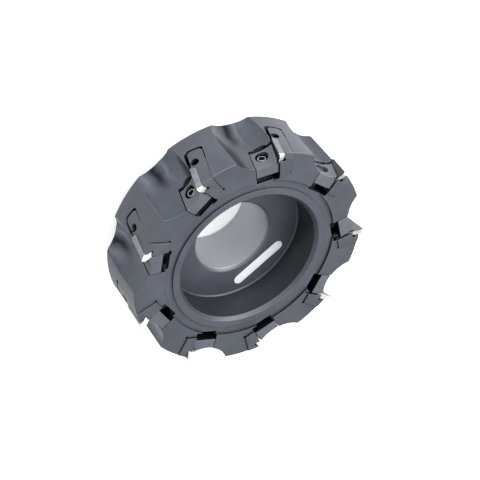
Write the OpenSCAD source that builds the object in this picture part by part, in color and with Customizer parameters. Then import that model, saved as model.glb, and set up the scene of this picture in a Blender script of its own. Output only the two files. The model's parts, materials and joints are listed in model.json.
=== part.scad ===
// Shell-type shoulder face mill with wedge-clamped triangular inserts in bolted locators.
// Origin: centre of the back mounting face, on the bore axis. +Z runs to the cutting face,
// and the cutter turns counter-clockwise seen from the cutting face, so it is right-hand.
// Each tooth station is built at +X and turned into place; tooth 1 is on +Y.

/* [Cutter] */
// Diameter over the insert tips
cut_d = 160; // [158:0.5:161]
// Height from the back mounting face to the insert tips
cut_h = 63; // [62:0.5:64]
// Number of teeth
teeth = 9; // [6:1:9]
// Outside diameter of the rim
rim_d = 158.4; // [158:0.1:158.8]
// Height of the flat front face of the rim
face_z = 60.1; // [59.8:0.1:60.4]
// Height of the rim's back edge
rim_back_z = 18.5; // [17:0.5:19]
// Diameter of the hub on the back
hub_d = 111; // [106:1:112]

/* [Bore and recess] */
// Bore diameter
bore_d = 50.8; // [40:0.1:54]
// Diameter of the screw recess in the front
recess_d = 93.7; // [90:0.1:94]
// Height of the recess floor
recess_z = 36; // [34:0.5:38]
// Width of the drive keyway across the back
key_w = 19.1; // [16:0.1:22]
// Depth of the drive keyway
key_depth = 11; // [8:0.5:12]

/* [Chip gullets] */
// Radius of the main trough
gullet_r = 20; // [19.8:0.1:20.4]
// Distance of the troughs' floors from the bore axis
gullet_floor = 69.5; // [69:0.1:70]
// Offset of the main trough's axis ahead of the insert
gullet_y = 12; // [11.6:0.1:12.4]
// Radius of the second trough, behind the wedge
small_r = 13; // [12.8:0.1:13.2]

/* [Insert] */
// Length of the insert's side
insert_side = 22; // [21.6:0.1:22.2]
// Thickness of the insert
insert_t = 3.2; // [3:0.1:3.4]
// Clearance angle of the insert's sides
insert_relief = 20; // [18:1:22]

/* [Tooth station] */
// Axial rake: lean of the pocket away from the bore axis
axial_rake = 13; // [12:0.5:14]
// Radial rake: turn of the pocket about its own length
radial_rake = 13; // [12:0.5:14]
// Width of the locator's pocket at the rim
locator_w = 11.3; // [11.1:0.1:11.5]
// Length of the locator behind the insert tip
locator_l = 32.8; // [32.4:0.1:33.2]
// Width of the wedge at its outer end
wedge_w = 14; // [13.8:0.1:14.2]
// Length of the wedge pocket behind the insert tip
wedge_pocket_l = 20.6; // [20.4:0.1:20.8]
// Diameter of the wedge screw's head
wedge_head_d = 7.6; // [7.4:0.1:7.8]
// Diameter of the locator screw's head
locator_head_d = 5; // [4.8:0.1:5.2]

/* [Hidden] */
$fn = 96;
stations = [1:teeth];

cut_r = cut_d / 2;
rim_r = rim_d / 2;
pitch_deg = 360 / teeth;
far = 100;              // longer than any cut has to reach

// Front face: an annular groove between the inner land and the rim
groove_r1 = 53.3;
groove_r2 = 59.4;
groove_z = face_z - 1.5;
land_z = face_z - 0.4;
mouth_r = recess_d / 2 + 2;
mouth_z = land_z - 2.1;
edge = 0.8;             // small turned chamfers
bore_edge = 2;          // chamfer where the bore meets the recess floor

// Back of the body
back_cone_r = 56.6;
back_cone_z = 12.4;
key_turn = -20;         // direction of the keyway about the bore axis, from +X

// Gullets: two troughs, parallel to the bore down to turn_z and then curving outward
small_y = 7.3;          // offset of the second trough's axis ahead of the insert
small_floor = 0.8;      // its floor stands above the main trough's
turn_z = 37;
turn_r = 50;            // radius of the curve, along a trough's floor
turn_deg = 30;

// Station pocket, in its own leaning frame: x outward, y to the rake side, z forward
floor_x = -20.7;        // floor of the wedge's pocket
locator_floor = -18.1;  // floor of the locator's pocket
out_x = 10;             // beyond the rim
wedge_taper = 4;        // lean of the wedge's back, so that it tightens inward
wedge_wall_x = -5;      // where the wedge pocket is wedge_w + gap wide
fit_gap = 0.03;         // between the wedge and the insert
rake_y = -0.8;          // the insert's rake face stands behind the pockets' common wall
side_gap = 0.5;         // behind the wedge
wedge_lift = 5.5;       // room under the wedge
wedge_tail_z = -16;
wedge_clear = 0.4;      // depth of the wedge's face below the gullet
wedge_edge_x = -9.5;    // the wedge stands clear of the insert outside this depth
wedge_edge_y = 0.1;
crescent_y = 7;         // round relief in the end of the wedge pocket
crescent_r = 5;
end_drop = 2.4;         // the square end of the pocket stands this much nearer the front
locator_step = 1.6;     // the locator's face stands back from the common wall
locator_lean = 10;      // its right wall leans, so that it is narrower inward
lean_x = -2;            // depth at which the right wall has the pocket's full width
locator_side = 0.2;     // clearance along the right wall
locator_gap = 0.5;      // wider slot beside the locator's tail
tail_step = 0.4;
locator_proud = 1;      // the locator's front stands out of the body's face
tail_gap = 1.6;         // slot behind the locator
tail_r = 3.2;           // rounding of the locator's tail
tail_front_z = -23;     // where the slot beside the locator starts
relief_z1 = -21;        // side relief of the locator
relief_z2 = -11;
relief_depth = 0.8;
corner_r = 0.9;         // relief along the pocket's inner corner
nose_x = 75.2;          // the locator's nose falls away outside this radius
nose_fall = 14;

// Wedge screw: reduced-head M6, hex socket
wedge_screw_y = 7.6;
wedge_screw_z = -10.8;
wedge_head_top = -8.4;
wedge_head_h = 4;
wedge_head_edge = 1.3;
wedge_thread_d = 6;
wedge_thread_end = -27.9;
run_gap = 0.05;         // radial running clearance round a screw
wedge_bore_gap = 0.3;   // round the head
wedge_hex = 4;
wedge_hex_depth = 2.6;

// Locator screw: M3 cap screw, sunk
locator_screw_y = -4.3;
locator_screw_z = -23.3;
locator_head_top = -6.5;
locator_head_h = 3;
locator_thread_d = 3;
locator_thread_end = -26.6;
locator_bore_gap = 0.2;
locator_hex = 2.5;
locator_hex_depth = 1.4;

// Triangular insert: a small wiper flat stands at the tip
wiper_drop = 1.3;
insert_in_r = insert_side / (2 * sqrt(3));
insert_out_r = insert_side / sqrt(3);
insert_mid_z = wiper_drop - insert_side / 2;
seat_gap = 0.02;
apex_relief_r = 1.2;
tip_relief_r = 1.1;
tip_relief_x = -6.5;    // relief in the locator under the insert's lower corner

// Marking plate: a blank strip let into the recess floor
plate_l = 40;
plate_w = 7;
plate_t = 1;
plate_y = 33.9;
plate_turn = -15.6;     // about the bore axis, from +Y
plate_proud = 0.15;

// A hexagon measured across its flats
module hex_prism(flats, h) {
    cylinder(d = flats / cos(30), h = h, $fn = 6);
}

// The station frame: tooth k at its angle
module at_station(k) {
    rotate([0, 0, 90 - (k - 1) * pitch_deg]) children();
}

// The pocket's leaning frame, with its origin at the insert tip
module in_pocket() {
    translate([cut_r, 0, cut_h]) rotate([-axial_rake, 0, 0]) rotate([0, 0, radial_rake]) children();
}

// A solid drawn in the pocket's y-z plane and run along x from x1 to x2
module along_x(x1, x2) {
    translate([x1, 0, 0]) rotate([0, 90, 0]) linear_extrude(x2 - x1) children();
}

// A cylinder along the pocket's x axis
module pin_x(y, z, r, x1, x2) {
    translate([x1, y, z]) rotate([0, 90, 0]) cylinder(r = r, h = x2 - x1);
}

// Outline of a bar that runs back from z_front to z_back, with its back corners rounded
module round_tail(y1, y2, z_front, z_back, r) {
    translate([-z_front, y1]) square([z_front - z_back - r, y2 - y1]);
    translate([-z_front, y1 + r]) square([z_front - z_back, y2 - y1 - 2 * r]);
    for (y = [y1 + r, y2 - r]) translate([-z_back - r, y]) circle(r);
}

// The rim as one turned solid, used to trim what sits in it
module rim_blank(r, z) {
    cylinder(r = r, h = z);
}

// A trough with its floor at distance floor_r: straight at the front, curving outward at the back
module trough(r, floor_r, y, extra = 0) {
    translate([floor_r, y, turn_z]) {
        translate([r, 0, 0]) cylinder(r = r + extra, h = far);
        translate([turn_r, 0, 0]) rotate([90, 180, 0])
            rotate_extrude(angle = turn_deg) translate([turn_r - r, 0]) circle(r + extra);
    }
}

// Everything left of the locator's leaning right wall, moved out by gap
module left_of_wall(gap) {
    lean = tan(locator_lean);
    y = locator_w + gap;
    translate([0, 0, -far / 2]) linear_extrude(far) polygon([[locator_floor, far / 2], [out_x, far / 2],
        [out_x, -y - (out_x - lean_x) * lean], [locator_floor, -y - (locator_floor - lean_x) * lean]]);
}

// Room for the locator in the body
module locator_pocket() {
    corner_y = -locator_w - (locator_floor - lean_x) * tan(locator_lean);
    intersection() {
        along_x(locator_floor, out_x) round_tail(-locator_w, 0, far / 5, -locator_l + tail_r, tail_r / 2);
        left_of_wall(0);
    }
    intersection() {
        along_x(locator_floor, out_x)
            round_tail(-locator_w - locator_gap, tail_step, tail_front_z, -locator_l - tail_gap, tail_r);
        left_of_wall(locator_gap);
    }
    translate([locator_floor, corner_y, tail_front_z]) cylinder(r = corner_r, h = far);
    pin_x(locator_screw_y, locator_screw_z, locator_thread_d / 2 + run_gap, locator_thread_end - 1,
        locator_floor + 1);
}

// Section of the wedge across its length: its back leans so that it is narrower inward
module wedge_section(front_y, gap, x1, x2) {
    lean = tan(wedge_taper);
    back = wedge_w + gap;
    polygon([[x1, front_y], [x2, front_y], [x2, back + (x2 - wedge_wall_x) * lean],
        [x1, back + (x1 - wedge_wall_x) * lean]]);
}

// Room for the wedge in the body, with its tapped hole
module wedge_pocket() {
    translate([0, 0, -wedge_pocket_l + end_drop]) linear_extrude(far)
        wedge_section(-locator_step, side_gap, floor_x, out_x);
    pin_x(crescent_y, -wedge_pocket_l + crescent_r, crescent_r, floor_x, out_x);
    pin_x(wedge_screw_y, wedge_screw_z, wedge_thread_d / 2 + run_gap, wedge_thread_end - 0.7, floor_x + 1);
}

// A stadium for the marking plate and its slot
module strip(grow, h) {
    r = plate_w / 2 + grow;
    rotate([0, 0, plate_turn]) {
        for (x = [-1, 1]) translate([x * (plate_l - plate_w) / 2, plate_y, 0]) cylinder(r = r, h = h);
        translate([-(plate_l - plate_w) / 2, plate_y - r, 0]) cube([plate_l - plate_w, 2 * r, h]);
    }
}

// Turned blank: rim, dished front face, recess, bore and hub in one profile
module turned_blank() {
    bore_r = bore_d / 2;
    recess_r = recess_d / 2;
    hub_r = hub_d / 2;
    rotate_extrude() polygon([
        [bore_r + edge, 0], [hub_r - edge, 0], [hub_r, edge], [hub_r, back_cone_z - edge],
        [back_cone_r, back_cone_z], [rim_r - edge, rim_back_z], [rim_r, rim_back_z + edge],
        [rim_r, face_z - edge / 2], [rim_r - edge / 2, face_z], [groove_r2, face_z],
        [groove_r2, groove_z], [groove_r1, groove_z], [groove_r1, land_z], [mouth_r, land_z],
        [recess_r, mouth_z], [recess_r, recess_z + edge], [recess_r - edge, recess_z],
        [bore_r + bore_edge, recess_z], [bore_r, recess_z - bore_edge], [bore_r, edge]]);
}

module cutter_body() {
    color([0.40, 0.42, 0.47]) difference() {
        turned_blank();
        rotate([0, 0, key_turn]) translate([-far, -key_w / 2, -1]) cube([2 * far, key_w, key_depth + 1]);
        translate([0, 0, recess_z - plate_t + plate_proud]) strip(0, far);
        for (k = stations) at_station(k) {
            trough(gullet_r, gullet_floor, gullet_y);
            trough(small_r, gullet_floor + small_floor, small_y);
            in_pocket() {
                locator_pocket();
                wedge_pocket();
            }
        }
    }
}

module marking_plate() {
    color([0.90, 0.91, 0.92]) translate([0, 0, recess_z - plate_t + plate_proud])
        strip(-fit_gap, plate_t);
}

// The insert's own frame: moved back to its rake plane, with the tip still on the cutting circle
module at_insert() {
    translate([rake_y * tan(radial_rake), rake_y, rake_y * cos(radial_rake) * tan(axial_rake)]) children();
}

// Seat for the insert: a 60 degree V that opens outward, with relief at its apex
module insert_seat() {
    apex_x = -insert_side * cos(30) - seat_gap;
    reach = 40;
    rotate([90, 0, 0]) translate([0, 0, -2]) linear_extrude(insert_t + seat_gap + 2)
        translate([0, insert_mid_z]) polygon([[apex_x, 0],
            [apex_x + reach * cos(30), -reach / 2], [apex_x + reach * cos(30), reach / 2]]);
    translate([apex_x + 1, 1, insert_mid_z]) rotate([90, 0, 0])
        cylinder(r = apex_relief_r, h = insert_t + 1);
}

// Locator: the block that seats the insert, screwed to the pocket floor
module locator(k) {
    color([0.43, 0.45, 0.50]) at_station(k) difference() {
        intersection() {
            in_pocket() intersection() {
                along_x(locator_floor, out_x)
                    round_tail(-locator_w + locator_side, -locator_step, far / 5, -locator_l, tail_r);
                left_of_wall(-locator_side);
            }
            rim_blank(rim_r - fit_gap, face_z + locator_proud);
        }
        translate([nose_x, -far / 2, face_z + locator_proud]) rotate([0, nose_fall, 0]) cube(far);
        in_pocket() {
            at_insert() {
                insert_seat();
                translate([tip_relief_x, -insert_t - tip_relief_r / 3, -tip_relief_r * 6])
                    cylinder(r = tip_relief_r, h = far);
            }
            translate([floor_x, -locator_w - 1, relief_z1])
                cube([far, relief_depth + 1, relief_z2 - relief_z1]);
            pin_x(locator_screw_y, locator_screw_z, locator_head_d / 2 + locator_bore_gap,
                locator_head_top - locator_head_h, out_x);
            pin_x(locator_screw_y, locator_screw_z, locator_thread_d / 2 + locator_bore_gap, floor_x, 0);
        }
    }
}

// A cap screw along the pocket's x axis, with its head outward
module cap_screw(y, z, head_d, head_top, head_h, head_edge, shank_d, shank_end, hex, hex_depth) {
    seat = head_top - head_h;
    translate([0, y, z]) rotate([0, 90, 0]) difference() {
        rotate_extrude() polygon([[0, shank_end], [shank_d / 2 - 0.5, shank_end],
            [shank_d / 2, shank_end + 0.5], [shank_d / 2, seat], [head_d / 2, seat],
            [head_d / 2, head_top - head_edge], [head_d / 2 - head_edge, head_top], [0, head_top]]);
        translate([0, 0, head_top - hex_depth]) hex_prism(hex, hex_depth + 1);
    }
}

module locator_screw(k) {
    color([0.10, 0.10, 0.11]) at_station(k) in_pocket()
        cap_screw(locator_screw_y, locator_screw_z, locator_head_d, locator_head_top, locator_head_h,
            0.3, locator_thread_d, locator_thread_end, locator_hex, locator_hex_depth);
}

// Triangular insert without a hole: three relieved sides and a wiper flat at each corner
module insert(k) {
    color([0.86, 0.87, 0.88]) at_station(k) in_pocket() at_insert()
        translate([-insert_in_r, 0, insert_mid_z]) difference() {
            rotate([90, 0, 0]) linear_extrude(insert_t)
                polygon([for (a = [60, 180, 300]) insert_out_r * [cos(a), sin(a)]]);
            for (a = [0, 120, 240]) rotate([0, a, 0]) {
                translate([insert_in_r, 0, 0]) rotate([0, 0, -insert_relief])
                    translate([0, -far / 2, -far / 2]) cube(far);
                translate([0, 0, insert_side / 2 - wiper_drop]) rotate([insert_relief, 0, 0])
                    translate([-far / 2, -far / 2, 0]) cube(far);
            }
        }
}

// Wedge: clamps the insert on its rake face and fills the foot of the gullet
module wedge(k) {
    color([0.44, 0.46, 0.51]) at_station(k) difference() {
        intersection() {
            in_pocket() translate([0, 0, wedge_tail_z])
                linear_extrude(far / 2)
                wedge_section(rake_y + fit_gap, 0, floor_x + wedge_lift, out_x);
            rim_blank(rim_r, face_z);
        }
        trough(gullet_r, gullet_floor, gullet_y, wedge_clear);
        in_pocket() {
            translate([wedge_edge_x, wedge_edge_y - far, -far / 2]) cube(far);
            pin_x(wedge_screw_y, wedge_screw_z, wedge_head_d / 2 + wedge_bore_gap,
                wedge_head_top - wedge_head_h, out_x);
            pin_x(wedge_screw_y, wedge_screw_z, wedge_thread_d / 2 + run_gap, floor_x - 1, 0);
        }
    }
}

module wedge_screw(k) {
    color([0.16, 0.16, 0.18]) at_station(k) in_pocket()
        cap_screw(wedge_screw_y, wedge_screw_z, wedge_head_d, wedge_head_top, wedge_head_h,
            wedge_head_edge, wedge_thread_d, wedge_thread_end, wedge_hex, wedge_hex_depth);
}

cutter_body();
marking_plate();
for (k = stations) locator(k);
for (k = stations) locator_screw(k);
for (k = stations) insert(k);
for (k = stations) wedge(k);
for (k = stations) wedge_screw(k);
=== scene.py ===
import json
import math

import bmesh
import bpy
from mathutils import Euler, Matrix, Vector


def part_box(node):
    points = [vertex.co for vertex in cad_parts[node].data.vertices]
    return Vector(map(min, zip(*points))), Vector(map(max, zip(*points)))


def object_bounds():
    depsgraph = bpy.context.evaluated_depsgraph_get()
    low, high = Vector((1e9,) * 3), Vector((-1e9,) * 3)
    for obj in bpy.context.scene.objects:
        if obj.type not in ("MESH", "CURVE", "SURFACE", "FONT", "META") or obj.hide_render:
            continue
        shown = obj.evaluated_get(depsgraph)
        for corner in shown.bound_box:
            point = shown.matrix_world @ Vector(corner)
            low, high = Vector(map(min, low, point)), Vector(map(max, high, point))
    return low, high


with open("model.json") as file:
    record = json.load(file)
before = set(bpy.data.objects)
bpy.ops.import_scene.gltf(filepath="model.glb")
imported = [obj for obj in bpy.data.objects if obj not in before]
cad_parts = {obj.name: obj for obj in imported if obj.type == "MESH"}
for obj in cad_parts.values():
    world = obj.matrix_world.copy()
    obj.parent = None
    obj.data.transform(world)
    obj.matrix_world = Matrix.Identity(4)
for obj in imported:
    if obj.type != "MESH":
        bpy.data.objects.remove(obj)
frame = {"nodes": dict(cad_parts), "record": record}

cad_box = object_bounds()
MM = 0.001
nodes = frame["nodes"]
scene = bpy.context.scene
mounts = {mount["name"]: mount for mount in frame["record"]["mounts"]}

# Radii and heights of the turned surfaces: those that the frame gives, then those of part.scad
bore_r = mounts["arbor_bore"]["dims"]["r_mm"] * MM
seat_z = mounts["screw_seat"]["pos_m"][2]
rim_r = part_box("cutter_body")[1].y
front_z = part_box("cutter_body")[1].z
tip_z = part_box("insert_1")[1].z
teeth = sum(name.startswith("insert_") for name in nodes)
recess_r = 46.85 * MM
mouth_r = recess_r + 1 * MM     # middle of the chamfer round the recess
land_r = 53.3 * MM              # outer edge of the inner land
front_r = 59.4 * MM             # outer edge of the groove
gullet_r = 69.5 * MM            # floor of the gullets

# Reflectance of the metals, linear
OXIDE = ((0.072, 0.080, 0.098), (0.114, 0.125, 0.149))
LOCATOR = ((0.064, 0.070, 0.083), (0.106, 0.114, 0.132))
WEDGE = ((0.096, 0.103, 0.120), (0.150, 0.160, 0.182))
# The next two colours are painted reflections: a dark one on the recess wall and a bright one on
# the bore
RECESS_WALL = (0.032, 0.033, 0.040)
BORE_REFLECTION = (0.50, 0.51, 0.53)
RUBBED = (0.28, 0.30, 0.34)
CARBIDE_FLANK = ((0.080, 0.084, 0.096), (0.135, 0.140, 0.156))
CARBIDE_RAKE = ((0.080, 0.074, 0.090), (0.105, 0.098, 0.115))
# CARBIDE_TIP is a painted highlight, for the insert tips and the faces that look forward
CARBIDE_TIP = ((0.74, 0.72, 0.68), (0.88, 0.86, 0.82))
CARBIDE_EDGE = (0.70, 0.69, 0.67)
BLACK = ((0.012, 0.012, 0.015), (0.030, 0.030, 0.035))
# The wedge screws' rubbed edges, and a painted highlight on their heads' faces
RUB_AND_SHEEN_HEAD = (0.42, 0.43, 0.45)
DULL_HEAD = (0.20, 0.21, 0.23)
STRIP = ((0.86, 0.88, 0.90), (0.95, 0.96, 0.97))
FLOOR = ((0.93, 0.93, 0.93), (0.96, 0.96, 0.96))

# Painted reflections at the back of each gullet, dark and bright bands: (place ahead of the tooth,
# reach) in degrees, and their heights
DARK_BANDS = ((20.5, 3), (10, 4))
BRIGHT_BANDS = ((16, 2.6), (5, 2))
BANDS_START = 40 * MM
BANDS_FULL = 24 * MM

# The view of the photograph
CAMERA_AT = (-0.24182, -0.65698, 0.67535)
CAMERA_TURN = (-40.888, -27.404, 131.996)      # degrees about X, Y and Z
CAMERA_LENS = 112.5
CAMERA_SENSOR = 36

FLOOR_GLOW = 0.45
FLOOR_DROP = 0.1 * MM           # the floor stays clear of the back mounting face

# Colour sockets of a Mix node
MIX_A, MIX_B, MIX_RESULT = 6, 7, 2


# ---------------------------------------------------------------- node-tree helpers

class Tree:
    """A material's node tree, with one short call for each kind of node."""

    def __init__(self, name):
        self.material = bpy.data.materials.new(name)
        self.material.use_nodes = True
        self.tree = self.material.node_tree
        self.tree.nodes.clear()
        self.out = self.tree.nodes.new("ShaderNodeOutputMaterial")
        self.bsdf = self.tree.nodes.new("ShaderNodeBsdfPrincipled")
        self.tree.links.new(self.bsdf.outputs[0], self.out.inputs["Surface"])

    def put(self, socket, value):
        if isinstance(value, bpy.types.NodeSocket):
            self.tree.links.new(value, socket)
        elif isinstance(value, (tuple, list)) and len(value) == 3 and socket.type == "RGBA":
            socket.default_value = (*value, 1)
        else:
            socket.default_value = value

    def set(self, name, value):
        self.put(self.bsdf.inputs[name], value)

    def math(self, op, *values, clamp=False):
        node = self.tree.nodes.new("ShaderNodeMath")
        node.operation = op
        node.use_clamp = clamp
        for socket, value in zip(node.inputs, values):
            self.put(socket, value)
        return node.outputs[0]

    def times(self, *values):
        """The product of all the values."""
        product = values[0]
        for value in values[1:]:
            product = self.math("MULTIPLY", product, value)
        return product

    def less(self, share, mask):
        """1 less that share of the mask: a factor that darkens where the mask is."""
        return self.math("MULTIPLY_ADD", mask, -share, 1.0)

    def vmath(self, op, *values):
        node = self.tree.nodes.new("ShaderNodeVectorMath")
        node.operation = op
        for socket, value in zip(node.inputs, values):
            self.put(socket, value)
        return node.outputs["Value"] if op in ("LENGTH", "DOT_PRODUCT") else node.outputs[0]

    def combine(self, x=0.0, y=0.0, z=0.0):
        node = self.tree.nodes.new("ShaderNodeCombineXYZ")
        for socket, value in zip(node.inputs, (x, y, z)):
            self.put(socket, value)
        return node.outputs[0]

    def separate(self, vector):
        node = self.tree.nodes.new("ShaderNodeSeparateXYZ")
        self.put(node.inputs[0], vector)
        return node.outputs

    def position(self):
        return self.tree.nodes.new("ShaderNodeTexCoord").outputs["Object"]

    def normal(self):
        """The true normal of the surface."""
        return self.tree.nodes.new("ShaderNodeNewGeometry").outputs["Normal"]

    def outward(self, at):
        """1 where the surface faces straight away from the bore axis, -1 where it faces it."""
        x, y = self.separate(at)[:2]
        away = self.vmath("NORMALIZE", self.combine(x, y))
        return self.vmath("DOT_PRODUCT", self.normal(), away)

    def noise(self, vector, scale, detail=3.0, rough=0.5):
        node = self.tree.nodes.new("ShaderNodeTexNoise")
        given = {"Vector": vector, "Scale": scale, "Detail": detail, "Roughness": rough}
        for name, value in given.items():
            self.put(node.inputs[name], value)
        return node.outputs["Fac"]

    def band(self, value, low, high, to_low=0.0, to_high=1.0):
        """value from low..high mapped to to_low..to_high, smoothly and clamped."""
        node = self.tree.nodes.new("ShaderNodeMapRange")
        node.interpolation_type = "SMOOTHSTEP"
        for socket, given in zip(node.inputs, (value, low, high, to_low, to_high)):
            self.put(socket, given)
        return node.outputs[0]

    def peak(self, value, centre, reach):
        """1 where value is centre, falling smoothly to 0 at a distance of reach."""
        off = self.math("ABSOLUTE", self.math("SUBTRACT", value, centre))
        return self.band(off, reach, 0.0)

    def mix(self, factor, a, b):
        node = self.tree.nodes.new("ShaderNodeMix")
        node.data_type = "RGBA"
        self.put(node.inputs["Factor"], factor)
        self.put(node.inputs[MIX_A], a)
        self.put(node.inputs[MIX_B], b)
        return node.outputs[MIX_RESULT]

    def mottle(self, pattern, pair):
        """The two colours of a pair, blended by a noise pattern."""
        return self.mix(self.band(pattern, 0.3, 0.7), *pair)

    def shade(self, colour, factor):
        """colour times a factor."""
        node = self.tree.nodes.new("ShaderNodeMix")
        node.data_type = "RGBA"
        node.blend_type = "MULTIPLY"
        node.inputs["Factor"].default_value = 1.0
        self.put(node.inputs[MIX_A], colour)
        self.put(node.inputs[MIX_B], self.combine(factor, factor, factor))
        return node.outputs[MIX_RESULT]

    def bump(self, height, distance, strength, normal):
        node = self.tree.nodes.new("ShaderNodeBump")
        node.inputs["Strength"].default_value = strength
        node.inputs["Distance"].default_value = distance
        self.put(node.inputs["Height"], height)
        self.put(node.inputs["Normal"], normal)
        return node.outputs[0]

    def rounded(self, radius):
        """The normal as if the edges were rounded to that radius."""
        node = self.tree.nodes.new("ShaderNodeBevel")
        node.samples = 6
        node.inputs["Radius"].default_value = radius
        return node.outputs[0]

    def crevice(self, reach=5.5 * MM, floor=0.02):
        """Painted shade: 1 in the open, falling to floor deep in the gaps between the parts."""
        node = self.tree.nodes.new("ShaderNodeAmbientOcclusion")
        node.samples = 8
        node.inputs["Distance"].default_value = reach
        return self.band(node.outputs["AO"], 0.20, 0.72, floor, 1.0)

    def edges(self, rounded):
        """1 near an edge, 0 elsewhere."""
        same = self.vmath("DOT_PRODUCT", self.normal(), rounded)
        return self.band(same, 0.985, 0.93)


# ---------------------------------------------------------------- materials

def steel(name, pair, wear):
    """Satin hardened steel: cloudy oxide, fine grain, and edges rubbed a little brighter."""
    t = Tree(name)
    at = t.position()
    cloud = t.noise(at, 45, 4, 0.6)
    speckle = t.noise(at, 1500, 2, 0.6)
    scratch = t.noise(t.vmath("MULTIPLY", at, (2600, 500, 260)), 1.0, 2)
    tone = t.math("ADD", t.times(cloud, 0.6), t.times(speckle, 0.4))
    colour = t.mottle(tone, pair)
    round_n = t.rounded(0.35 * MM)
    rub = t.times(t.edges(round_n), t.math("MULTIPLY_ADD", cloud, 0.8, wear * 0.5))
    colour = t.mix(t.math("MULTIPLY", rub, wear, clamp=True), colour, RUBBED)

    # Painted light and shade: ends that face forward are lighter than the outer sides, inner ends
    # are painted black, and the gaps get painted shade
    forward = t.band(t.separate(t.normal())[2], 0.5, 0.9, 0.60, 1.15)
    inner = t.band(t.outward(at), -0.5, -0.8)
    open_sky = t.times(t.crevice(), t.less(0.92, inner))
    t.set("Base Color", t.shade(colour, t.times(forward, open_sky)))
    t.set("Metallic", 0.55)
    t.set("Specular IOR Level", t.times(open_sky, 0.5))
    t.set("Roughness", t.math("MULTIPLY_ADD", scratch, 0.12, 0.36))
    height = t.math("ADD", speckle, t.times(scratch, 0.5))
    t.set("Normal", t.bump(height, 0.02 * MM, 0.5, round_n))
    return t.material


def body_steel():
    """The turned body: rings on the flat faces, lines on the walls, a painted dark reflection on
    the recess wall and a painted bright reflection on the bore.
    """
    t = Tree("cutter_oxide")
    at = t.position()
    x, y, z = t.separate(at)
    r = t.vmath("LENGTH", t.combine(x, y))
    flat = t.band(t.math("ABSOLUTE", t.separate(t.normal())[2]), 0.5, 0.9)
    on_wall = t.math("SUBTRACT", 1.0, flat)
    ring_at = t.math("ADD", t.times(flat, r), t.times(on_wall, z))
    fine = t.noise(t.combine(ring_at, 0.0, 0.0), 3200, 2, 0.6)
    coarse = t.noise(t.combine(ring_at, 0.0, 0.0), 620, 2)
    turned = t.band(r, gullet_r + 0.1 * MM, gullet_r - 0.2 * MM)
    cloud = t.noise(at, 38, 4, 0.6)
    speckle = t.noise(at, 1400, 2, 0.65)
    tone = t.math("ADD", t.times(cloud, 0.45), t.times(speckle, 0.35))
    tone = t.math("ADD", tone, t.times(t.math("ADD", fine, coarse), 0.10))
    colour = t.mottle(tone, OXIDE)

    # Painted reflections: the recess wall is dark and the bore is brighter
    wall = t.times(on_wall, t.band(r, recess_r + 0.6 * MM, recess_r + 0.2 * MM),
                   t.band(r, recess_r - 2 * MM, recess_r - 0.5 * MM),
                   t.band(z, front_z - 1.5 * MM, front_z - 3.5 * MM))
    colour = t.mix(wall, colour, RECESS_WALL)
    bore = t.times(on_wall, t.band(r, bore_r + 1.6 * MM, bore_r + 1.2 * MM))
    colour = t.mix(t.times(bore, 0.8), colour, BORE_REFLECTION)

    # Painted shade: the chamfers of the bore and of the recess are darker than the faces beside
    # them
    chamfer = t.times(t.peak(r, bore_r + 1 * MM, 1.1 * MM), t.peak(z, seat_z - 1 * MM, 1.2 * MM))
    mouth = t.times(t.peak(r, mouth_r, 1.4 * MM), t.band(z, front_z - 5 * MM, front_z - 3 * MM))
    colour = t.shade(colour, t.times(t.less(0.6, chamfer), t.less(0.3, mouth)))

    # Painted shade in the groove round the front, and painted black shade inside the tooth pockets
    groove = t.times(on_wall, t.band(r, land_r - 0.3 * MM, land_r - 0.1 * MM),
                     t.band(r, front_r + 0.3 * MM, front_r + 0.1 * MM),
                     t.band(z, front_z - 4 * MM, front_z - 3 * MM))
    pocket = t.times(on_wall, t.band(r, front_r, front_r + 0.5 * MM),
                     t.band(r, gullet_r, gullet_r - 1 * MM))
    colour = t.shade(colour, t.times(t.less(0.88, groove), t.less(0.92, pocket)))

    # Painted shade: the rim and the gullets are darker than the turned front, the gullets a little
    # less so
    side = t.times(on_wall, t.band(r, front_r, front_r + 6 * MM))
    gullet = t.times(side, t.band(r, rim_r - 0.4 * MM, rim_r - 1.2 * MM))
    side_shade = t.math("SUBTRACT", t.times(side, 0.42), t.times(gullet, 0.10))
    colour = t.shade(colour, t.math("SUBTRACT", 1.0, side_shade))

    # Painted reflections: soft dark and light bands where each gullet's floor curves out at the
    # back
    degree = math.radians(1)
    waver = t.times(t.math("SUBTRACT", t.noise(at, 90, 2), 0.5), 6 * degree)
    turn = t.math("ADD", t.math("SUBTRACT", t.math("ARCTAN2", y, x), math.pi / 2), waver)
    phase = t.math("WRAP", turn, 2 * math.pi / teeth, 0.0)
    curve = t.times(gullet, t.band(z, BANDS_START, BANDS_FULL))

    def bands(places):
        peaks = [t.peak(phase, place * degree, reach * degree) for place, reach in places]
        return t.math("MAXIMUM", *peaks)

    painted_bands = t.math("SUBTRACT", t.times(bands(BRIGHT_BANDS), 0.5), t.times(bands(DARK_BANDS), 0.82))
    colour = t.shade(colour, t.math("MULTIPLY_ADD", curve, painted_bands, 1.0))

    round_n = t.rounded(0.4 * MM)
    rub = t.times(t.edges(round_n), t.math("MULTIPLY_ADD", cloud, 0.6, 0.1))
    colour = t.mix(t.math("MULTIPLY", rub, 0.6, clamp=True), colour, RUBBED)
    # Painted shade deep in the gaps between the parts
    open_sky = t.crevice()
    t.set("Base Color", t.shade(colour, open_sky))
    t.set("Metallic", t.math("MULTIPLY_ADD", gullet, 0.35, t.math("MULTIPLY_ADD", side, 0.15, 0.5)))
    t.set("Specular IOR Level", t.times(open_sky, t.less(0.9, pocket), 0.5))
    rough = t.math("SUBTRACT", t.math("MULTIPLY_ADD", coarse, 0.10, 0.38), t.times(gullet, 0.16))
    t.set("Roughness", t.math("MULTIPLY_ADD", speckle, 0.08, rough))
    height = t.math("ADD", t.times(fine, turned, 0.7), t.times(speckle, 0.5))
    t.set("Normal", t.bump(height, 0.02 * MM, 0.5, round_n))
    return t.material


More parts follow.
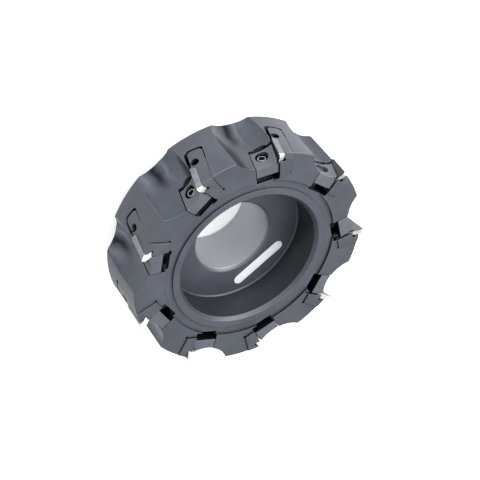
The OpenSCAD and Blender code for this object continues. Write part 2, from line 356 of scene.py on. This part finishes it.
def carbide():
    """Ground carbide: grey flanks, a darker rake face, and a painted highlight on the tip and the
    forward faces.
    """
    t = Tree("ground_carbide")
    at = t.position()
    x, y, z = t.separate(at)
    lines = t.noise(t.vmath("MULTIPLY", at, (5200, 900, 400)), 1.0, 2)
    cloud = t.noise(at, 160)
    normal = t.normal()
    ahead = t.vmath("NORMALIZE", t.combine(t.times(y, -1.0), x))
    rake = t.band(t.vmath("DOT_PRODUCT", normal, ahead), 0.55, 0.75)
    colour = t.mix(rake, t.mottle(cloud, CARBIDE_FLANK), t.mottle(cloud, CARBIDE_RAKE))
    # Painted highlight: the tip and the faces that look forward take the bright tip colour
    tip = t.times(t.band(z, tip_z - 1.8 * MM, tip_z - 0.9 * MM), t.math("SUBTRACT", 1.0, rake))
    forward = t.band(t.separate(normal)[2], 0.6, 0.85)
    colour = t.mix(t.math("MAXIMUM", tip, forward), colour, t.mottle(cloud, CARBIDE_TIP))
    round_n = t.rounded(0.2 * MM)
    colour = t.mix(t.times(t.edges(round_n), 0.5), colour, CARBIDE_EDGE)
    # Painted shade deep in the gaps between the parts
    t.set("Base Color", t.shade(colour, t.crevice(2.5 * MM, 0.2)))
    t.set("Metallic", 0.35)
    t.set("Roughness", t.math("MULTIPLY_ADD", lines, 0.14, 0.24))
    t.set("Normal", t.bump(lines, 0.01 * MM, 0.4, round_n))
    return t.material


def black_oxide(name, rim, head_sheen):
    """Black screws whose edges have rubbed to the rim colour. The head's face can take the rim
    colour too, as a painted highlight.
    """
    t = Tree(name)
    at = t.position()
    speckle = t.noise(at, 1800, 2, 0.6)
    cloud = t.noise(at, 300)
    round_n = t.rounded(0.35 * MM)
    rub = t.times(t.edges(round_n), t.band(cloud, 0.3, 0.6, 0.4, 1.0), 0.7)
    # Painted highlight: the head's outward face takes the rim colour
    head = t.band(t.outward(at), 0.6, 0.85)
    rub = t.math("MAXIMUM", rub, t.times(head, head_sheen))
    # Painted shade deep in the gaps between the parts
    open_sky = t.crevice(3 * MM)
    t.set("Base Color", t.shade(t.mix(rub, t.mottle(speckle, BLACK), rim), open_sky))
    t.set("Metallic", 0.5)
    t.set("Specular IOR Level", t.times(open_sky, 0.5))
    t.set("Roughness", t.math("MULTIPLY_ADD", speckle, 0.15, 0.34))
    t.set("Normal", t.bump(speckle, 0.015 * MM, 0.5, round_n))
    return t.material


def bright_strip():
    """The blank marking strip: bright satin metal, brushed along its length."""
    t = Tree("blank_strip")
    at = t.position()
    brush = t.noise(t.vmath("MULTIPLY", at, (300, 6000, 300)), 1.0, 2)
    t.set("Base Color", t.mottle(t.noise(at, 220), STRIP))
    t.set("Metallic", 0.15)
    t.set("Roughness", t.math("MULTIPLY_ADD", brush, 0.2, 0.28))
    t.set("Normal", t.bump(brush, 0.008 * MM, 0.4, t.rounded(0.25 * MM)))
    return t.material


materials = {
    "body": body_steel(),
    "locator": steel("locator_steel", LOCATOR, 0.5),
    "wedge": steel("wedge_steel", WEDGE, 0.6),
    "insert": carbide(),
    "wedge_screw": black_oxide("wedge_screw_oxide", RUB_AND_SHEEN_HEAD, 0.75),
    "locator_screw": black_oxide("locator_screw_oxide", DULL_HEAD, 0.0),
    "marking_plate": bright_strip(),
}
slots = {part["node"]: part["material_slot"] for part in frame["record"]["subparts"]}
for name, node in nodes.items():
    node.data.materials.clear()
    node.data.materials.append(materials[slots[name]])


# ---------------------------------------------------------------- floor, light and camera

def link(name, data):
    obj = bpy.data.objects.new(name, data)
    scene.collection.objects.link(obj)
    return obj


def floor(half_side):
    """A wide pale sheet under the cutter, very slightly mottled and faintly lit from within."""
    sheet = bmesh.new()
    bmesh.ops.create_grid(sheet, x_segments=2, y_segments=2, size=half_side)
    mesh = bpy.data.meshes.new("floor")
    sheet.to_mesh(mesh)
    sheet.free()
    obj = link("floor", mesh)
    obj.location.z = cad_box[0][2] - FLOOR_DROP
    t = Tree("pale_floor")
    t.set("Base Color", t.mottle(t.noise(t.position(), 30, 2), FLOOR))
    t.set("Roughness", 0.9)
    t.set("Specular IOR Level", 0.1)
    t.set("Emission Color", (1.0, 1.0, 1.0))
    t.set("Emission Strength", FLOOR_GLOW)
    mesh.materials.append(t.material)


floor(half_side=6.0)

camera_turn = Euler([math.radians(angle) for angle in CAMERA_TURN], "XYZ")
camera = link("camera", bpy.data.cameras.new("camera"))
camera.location = CAMERA_AT
camera.rotation_euler = camera_turn
camera.data.sensor_width = CAMERA_SENSOR
camera.data.lens = CAMERA_LENS
camera.data.clip_end = 50
scene.camera = camera

target = Vector((0, 0, front_z / 2))
view_axes = camera_turn.to_matrix()


def soft_light(name, right, up, back, size, power):
    """A square soft light, placed along the camera's own right, up and back directions."""
    data = bpy.data.lights.new(name, "AREA")
    data.shape = "SQUARE"
    data.size = size
    data.energy = power
    obj = link(name, data)
    obj.location = target + view_axes @ Vector((right, up, back))
    obj.rotation_euler = (target - obj.location).to_track_quat("-Z", "Y").to_euler()


soft_light("key", right=0.10, up=0.80, back=1.30, size=0.8, power=19)
soft_light("top", right=0.52, up=0.22, back=0.36, size=0.4, power=4.6)


def studio():
    """Soft light from all round, brighter overhead than at the horizon."""
    world = bpy.data.worlds.new("studio")
    world.use_nodes = True
    tree = world.node_tree
    split = tree.nodes.new("ShaderNodeSeparateXYZ")
    tree.links.new(tree.nodes.new("ShaderNodeTexCoord").outputs["Generated"], split.inputs[0])
    rise = tree.nodes.new("ShaderNodeMapRange")
    rise.interpolation_type = "SMOOTHSTEP"
    tree.links.new(split.outputs["Z"], rise.inputs["Value"])
    for name, value in (("From Min", 0.02), ("From Max", 0.55), ("To Min", 0.22), ("To Max", 0.95)):
        rise.inputs[name].default_value = value
    sky = tree.nodes["Background"]
    sky.inputs["Color"].default_value = (0.97, 0.98, 1.0, 1)
    tree.links.new(rise.outputs[0], sky.inputs["Strength"])
    return world


scene.world = studio()
scene.view_settings.view_transform = "Standard"
